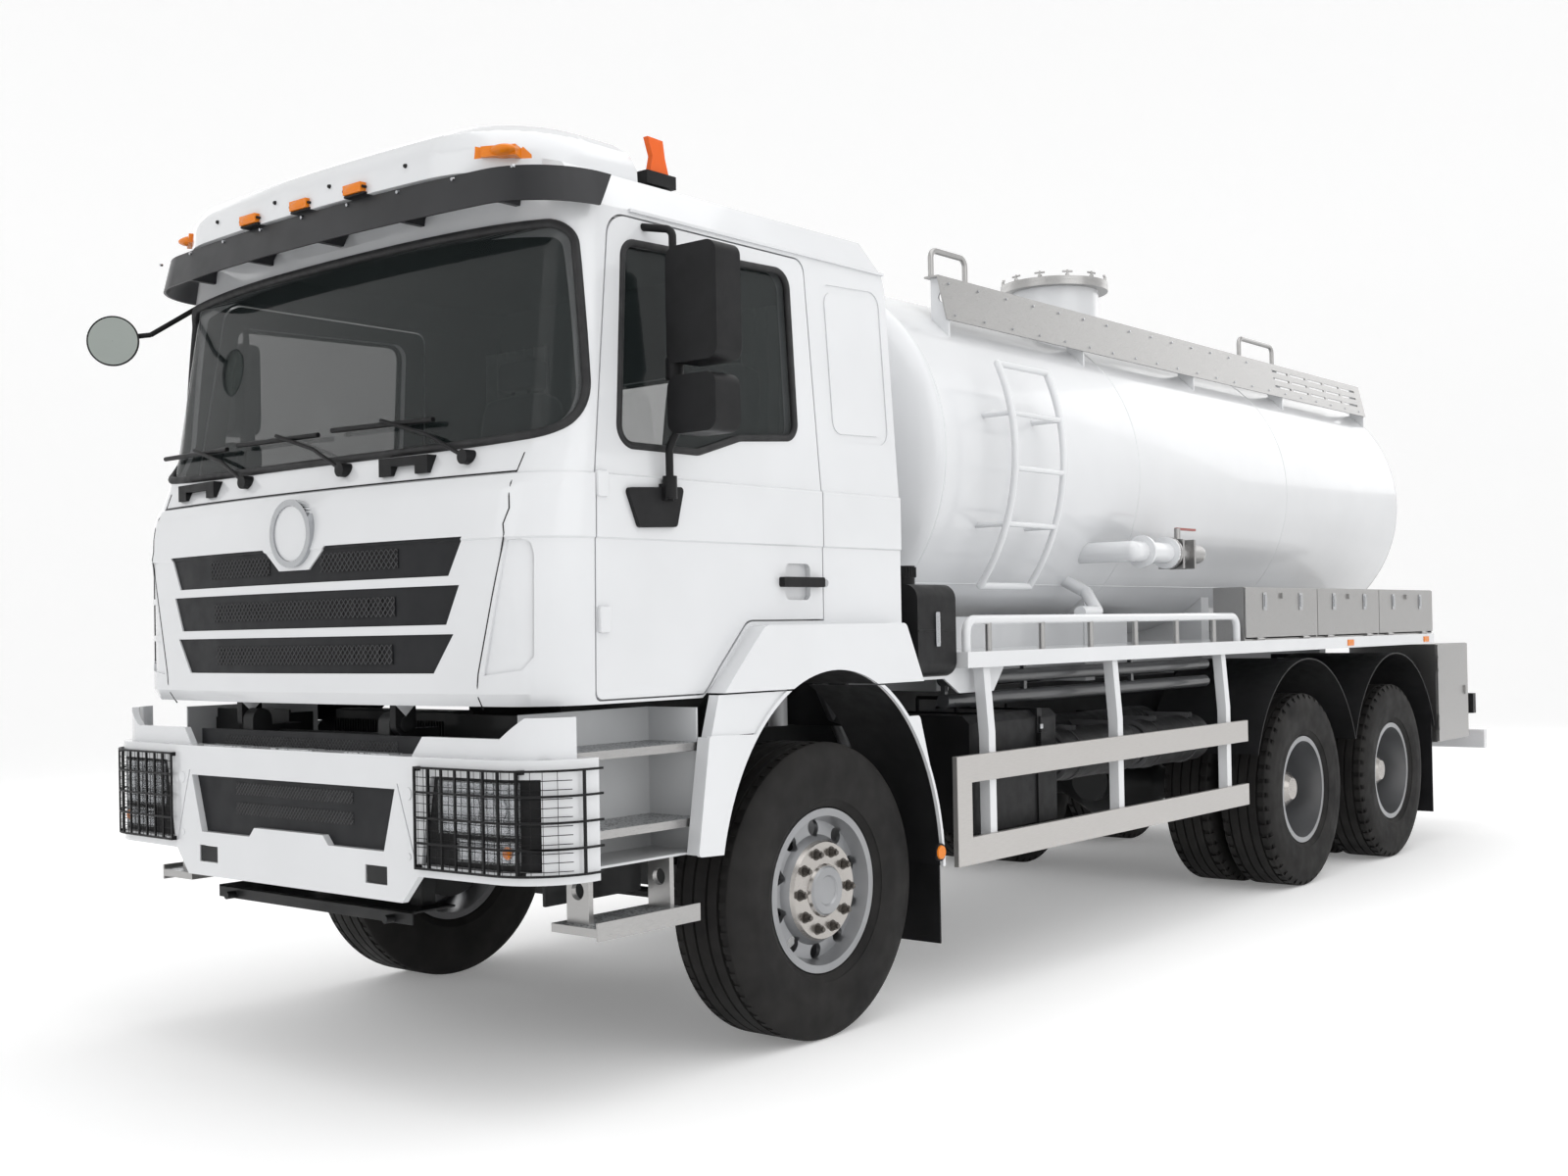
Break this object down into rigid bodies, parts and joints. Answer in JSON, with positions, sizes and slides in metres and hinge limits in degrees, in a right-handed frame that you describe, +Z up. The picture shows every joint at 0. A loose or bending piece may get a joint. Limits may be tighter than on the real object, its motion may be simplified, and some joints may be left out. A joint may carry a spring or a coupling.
{
  "type": "tanker truck",
  "caption": "Three-axle cab-over vacuum tanker truck with a white cylindrical tank, tilting cab, opening doors, steered front wheels and side lockers.",
  "frame": {"origin": "ground point under the middle of the truck's overall box", "axes": "+Z up, -Y the way the truck drives, +X its left side"},
  "size_m": [2.91, 9.1969, 3.5163],
  "materials": {
    "white": "gloss white paint",
    "dark": "black plastic",
    "chassis": "black chassis paint",
    "glass": "clear glazing",
    "lamp": "clear lamp lens",
    "trim": "cab trim",
    "stainless": "stainless sheet and tube",
    "alu": "bare aluminium",
    "steelwheel": "silver wheel paint",
    "tyre": "black rubber"
  },
  "bodies": {
    "chassis": {"axles": "chassis", "battery_box": "dark", "bumper": "white", "deck": "white", "deck_rails": "stainless", "engine": "chassis", "frame": "chassis", "front_mudguards": "white", "headlamps": "lamp", "lamp_guards": "dark", "leaf_springs": "chassis", "pipework": "white", "rear_bumper": "white", "rear_mudguards": "dark", "side_guards": "alu", "side_tanks": "chassis", "steps": "white", "tank": "white", "tank_ladder": "stainless", "toolboxes": "stainless", "walkways": "stainless"},
    "steer_left": {"knuckle_left": "chassis"},
    "steer_right": {"knuckle_right": "chassis"},
    "tie_rod": {"tie_rod": "chassis"},
    "wheel_front_left": {"tyre_front_left": "tyre", "rim_front_left": "alu"},
    "wheel_front_right": {"tyre_front_right": "tyre", "rim_front_right": "alu"},
    "cab": {"cab_shell": "white", "cab_glass": "glass", "cab_grilles": "dark", "visor": "dark", "roof_cap": "white", "wipers": "dark", "round_mirror": "dark", "dashboard": "trim", "seats": "trim"},
    "door_left": {"door_left": "white", "door_glass_left": "glass", "mirrors_left": "dark"},
    "door_right": {"door_right": "white", "door_glass_right": "glass", "mirrors_right": "dark"},
    "hatch": {"hatch_lid": "white"},
    "wheels_axle2_left": {"tyres_axle2_left": "tyre", "rims_axle2_left": "steelwheel"},
    "wheels_axle2_right": {"tyres_axle2_right": "tyre", "rims_axle2_right": "steelwheel"},
    "wheels_axle3_left": {"tyres_axle3_left": "tyre", "rims_axle3_left": "steelwheel"},
    "wheels_axle3_right": {"tyres_axle3_right": "tyre", "rims_axle3_right": "steelwheel"},
    "tool_door_left_1": {"tool_door_left_1": "stainless"},
    "tool_door_left_2": {"tool_door_left_2": "stainless"},
    "tool_door_left_3": {"tool_door_left_3": "stainless"},
    "cabinet_door_left": {"cabinet_door_left": "stainless"},
    "tool_door_right_1": {"tool_door_right_1": "stainless"},
    "tool_door_right_2": {"tool_door_right_2": "stainless"},
    "tool_door_right_3": {"tool_door_right_3": "stainless"},
    "cabinet_door_right": {"cabinet_door_right": "stainless"}
  },
  "joints": [
    {"name": "steer_left", "type": "hinge", "parent": "chassis", "child": "steer_left", "pos_m": [0.87, -3.1, 0.5425], "axis": [0, 0, 1], "range_deg": [-31, 31]},
    {"name": "steer_right", "type": "hinge", "parent": "chassis", "child": "steer_right", "pos_m": [-0.87, -3.1, 0.5425], "axis": [0, 0, 1], "range_deg": [-31, 31]},
    {"name": "tie_rod_end", "type": "hinge", "parent": "steer_left", "child": "tie_rod", "pos_m": [0.87, -2.91, 0.42], "axis": [0, 0, 1], "range_deg": [-31, 31]},
    {"name": "spin_front_left", "type": "hinge", "parent": "steer_left", "child": "wheel_front_left", "pos_m": [1.045, -3.1, 0.5425], "axis": [1, 0, 0], "continuous": true},
    {"name": "spin_front_right", "type": "hinge", "parent": "steer_right", "child": "wheel_front_right", "pos_m": [-1.045, -3.1, 0.5425], "axis": [1, 0, 0], "continuous": true},
    {"name": "spin_axle2_left", "type": "hinge", "parent": "chassis", "child": "wheels_axle2_left", "pos_m": [0.9025, 1.275, 0.5425], "axis": [1, 0, 0], "continuous": true},
    {"name": "spin_axle2_right", "type": "hinge", "parent": "chassis", "child": "wheels_axle2_right", "pos_m": [-0.9025, 1.275, 0.5425], "axis": [1, 0, 0], "continuous": true},
    {"name": "spin_axle3_left", "type": "hinge", "parent": "chassis", "child": "wheels_axle3_left", "pos_m": [0.9025, 2.675, 0.5425], "axis": [1, 0, 0], "continuous": true},
    {"name": "spin_axle3_right", "type": "hinge", "parent": "chassis", "child": "wheels_axle3_right", "pos_m": [-0.9025, 2.675, 0.5425], "axis": [1, 0, 0], "continuous": true},
    {"name": "cab_tilt", "type": "hinge", "parent": "chassis", "child": "cab", "pos_m": [0, -4.43, 1.21], "axis": [1, 0, 0], "range_deg": [0, 50]},
    {"name": "door_left_swing", "type": "hinge", "parent": "cab", "child": "door_left", "pos_m": [1.184, -4.249, 2], "axis": [0, 0, -1], "range_deg": [0, 70]},
    {"name": "door_right_swing", "type": "hinge", "parent": "cab", "child": "door_right", "pos_m": [-1.184, -4.249, 2], "axis": [0, 0, 1], "range_deg": [0, 70]},
    {"name": "hatch_lift", "type": "hinge", "parent": "chassis", "child": "hatch", "pos_m": [0, 1.02, 3.47], "axis": [-1, 0, 0], "range_deg": [0, 100]},
    {"name": "tool_door_left_1_drop", "type": "hinge", "parent": "chassis", "child": "tool_door_left_1", "pos_m": [1.235, 0.95583, 1.403], "axis": [0, 1, 0], "range_deg": [0, 90]},
    {"name": "tool_door_left_2_drop", "type": "hinge", "parent": "chassis", "child": "tool_door_left_2", "pos_m": [1.235, 1.9335, 1.403], "axis": [0, 1, 0], "range_deg": [0, 90]},
    {"name": "tool_door_left_3_drop", "type": "hinge", "parent": "chassis", "child": "tool_door_left_3", "pos_m": [1.235, 2.91117, 1.403], "axis": [0, 1, 0], "range_deg": [0, 90]},
    {"name": "cabinet_door_left_swing", "type": "hinge", "parent": "chassis", "child": "cabinet_door_left", "pos_m": [1.235, 3.478, 1], "axis": [0, 0, -1], "range_deg": [0, 110]},
    {"name": "tool_door_right_1_drop", "type": "hinge", "parent": "chassis", "child": "tool_door_right_1", "pos_m": [-1.235, 0.95583, 1.403], "axis": [0, -1, 0], "range_deg": [0, 90]},
    {"name": "tool_door_right_2_drop", "type": "hinge", "parent": "chassis", "child": "tool_door_right_2", "pos_m": [-1.235, 1.9335, 1.403], "axis": [0, -1, 0], "range_deg": [0, 90]},
    {"name": "tool_door_right_3_drop", "type": "hinge", "parent": "chassis", "child": "tool_door_right_3", "pos_m": [-1.235, 2.91117, 1.403], "axis": [0, -1, 0], "range_deg": [0, 90]},
    {"name": "cabinet_door_right_swing", "type": "hinge", "parent": "chassis", "child": "cabinet_door_right", "pos_m": [-1.235, 3.478, 1], "axis": [0, 0, 1], "range_deg": [0, 110]}
  ],
  "couplings": [
    {"joint": "steer_right", "follows": "steer_left", "ratio": 1},
    {"joint": "tie_rod_end", "follows": "steer_left", "ratio": -1}
  ]
}
